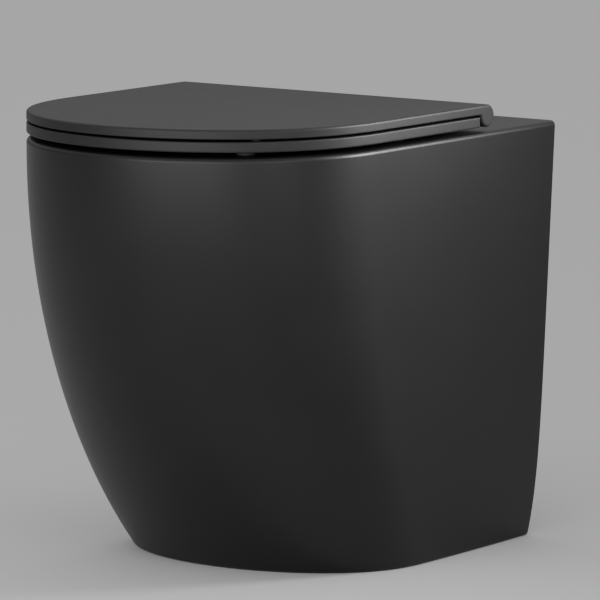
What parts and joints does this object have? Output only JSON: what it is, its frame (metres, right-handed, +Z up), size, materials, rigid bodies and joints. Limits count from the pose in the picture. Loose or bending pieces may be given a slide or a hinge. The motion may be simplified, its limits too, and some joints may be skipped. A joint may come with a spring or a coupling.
{
  "type": "floor-standing toilet",
  "caption": "Back-to-wall floor-standing toilet in satin black ceramic, with a slim wrap-over lid and soft-close seat that hinge on one axis.",
  "frame": {"origin": "on the floor under the middle of the pan's box", "axes": "+Z up, +Y towards the wall, -Y to the user, +X to the right seen from the user"},
  "size_m": [0.36, 0.47, 0.4305],
  "materials": {
    "black_ceramic": "satin",
    "black_duroplast": "matte",
    "dark_rubber": "matte",
    "brass": "machined",
    "white_plastic": "moulded",
    "satin_steel": "satin",
    "plain_steel": "zinc plated"
  },
  "bodies": {
    "pan": {"pan": "black_ceramic", "hinge_base_left": "satin_steel", "hinge_base_right": "satin_steel", "hinge_gasket_left": "dark_rubber", "hinge_gasket_right": "dark_rubber", "fixing_bolt_left": "plain_steel", "fixing_bolt_right": "plain_steel", "expansion_sleeve_left": "dark_rubber", "expansion_sleeve_right": "dark_rubber", "clamp_nut_left": "brass", "clamp_nut_right": "brass", "seat_damper_shaft": "plain_steel", "lid_damper_shaft": "plain_steel", "seat_hinge_pin": "plain_steel", "lid_hinge_pin": "plain_steel", "floor_bracket_left": "plain_steel", "floor_bracket_right": "plain_steel", "bracket_plugs": "white_plastic", "bracket_screws": "plain_steel"},
    "seat": {"seat": "black_duroplast", "seat_damper": "white_plastic", "seat_buffer_front_left": "dark_rubber", "seat_buffer_front_right": "dark_rubber", "seat_buffer_rear_left": "dark_rubber", "seat_buffer_rear_right": "dark_rubber"},
    "lid": {"lid": "black_duroplast", "lid_damper": "white_plastic", "lid_buffer_left": "dark_rubber", "lid_buffer_right": "dark_rubber"}
  },
  "joints": [
    {"name": "seat_hinge", "type": "hinge", "parent": "pan", "child": "seat", "pos_m": [0, 0.11825, 0.41975], "axis": [-1, 0, 0], "range_deg": [0, 91]},
    {"name": "lid_hinge", "type": "hinge", "parent": "seat", "child": "lid", "pos_m": [0, 0.11825, 0.41975], "axis": [-1, 0, 0], "range_deg": [0, 90]}
  ]
}
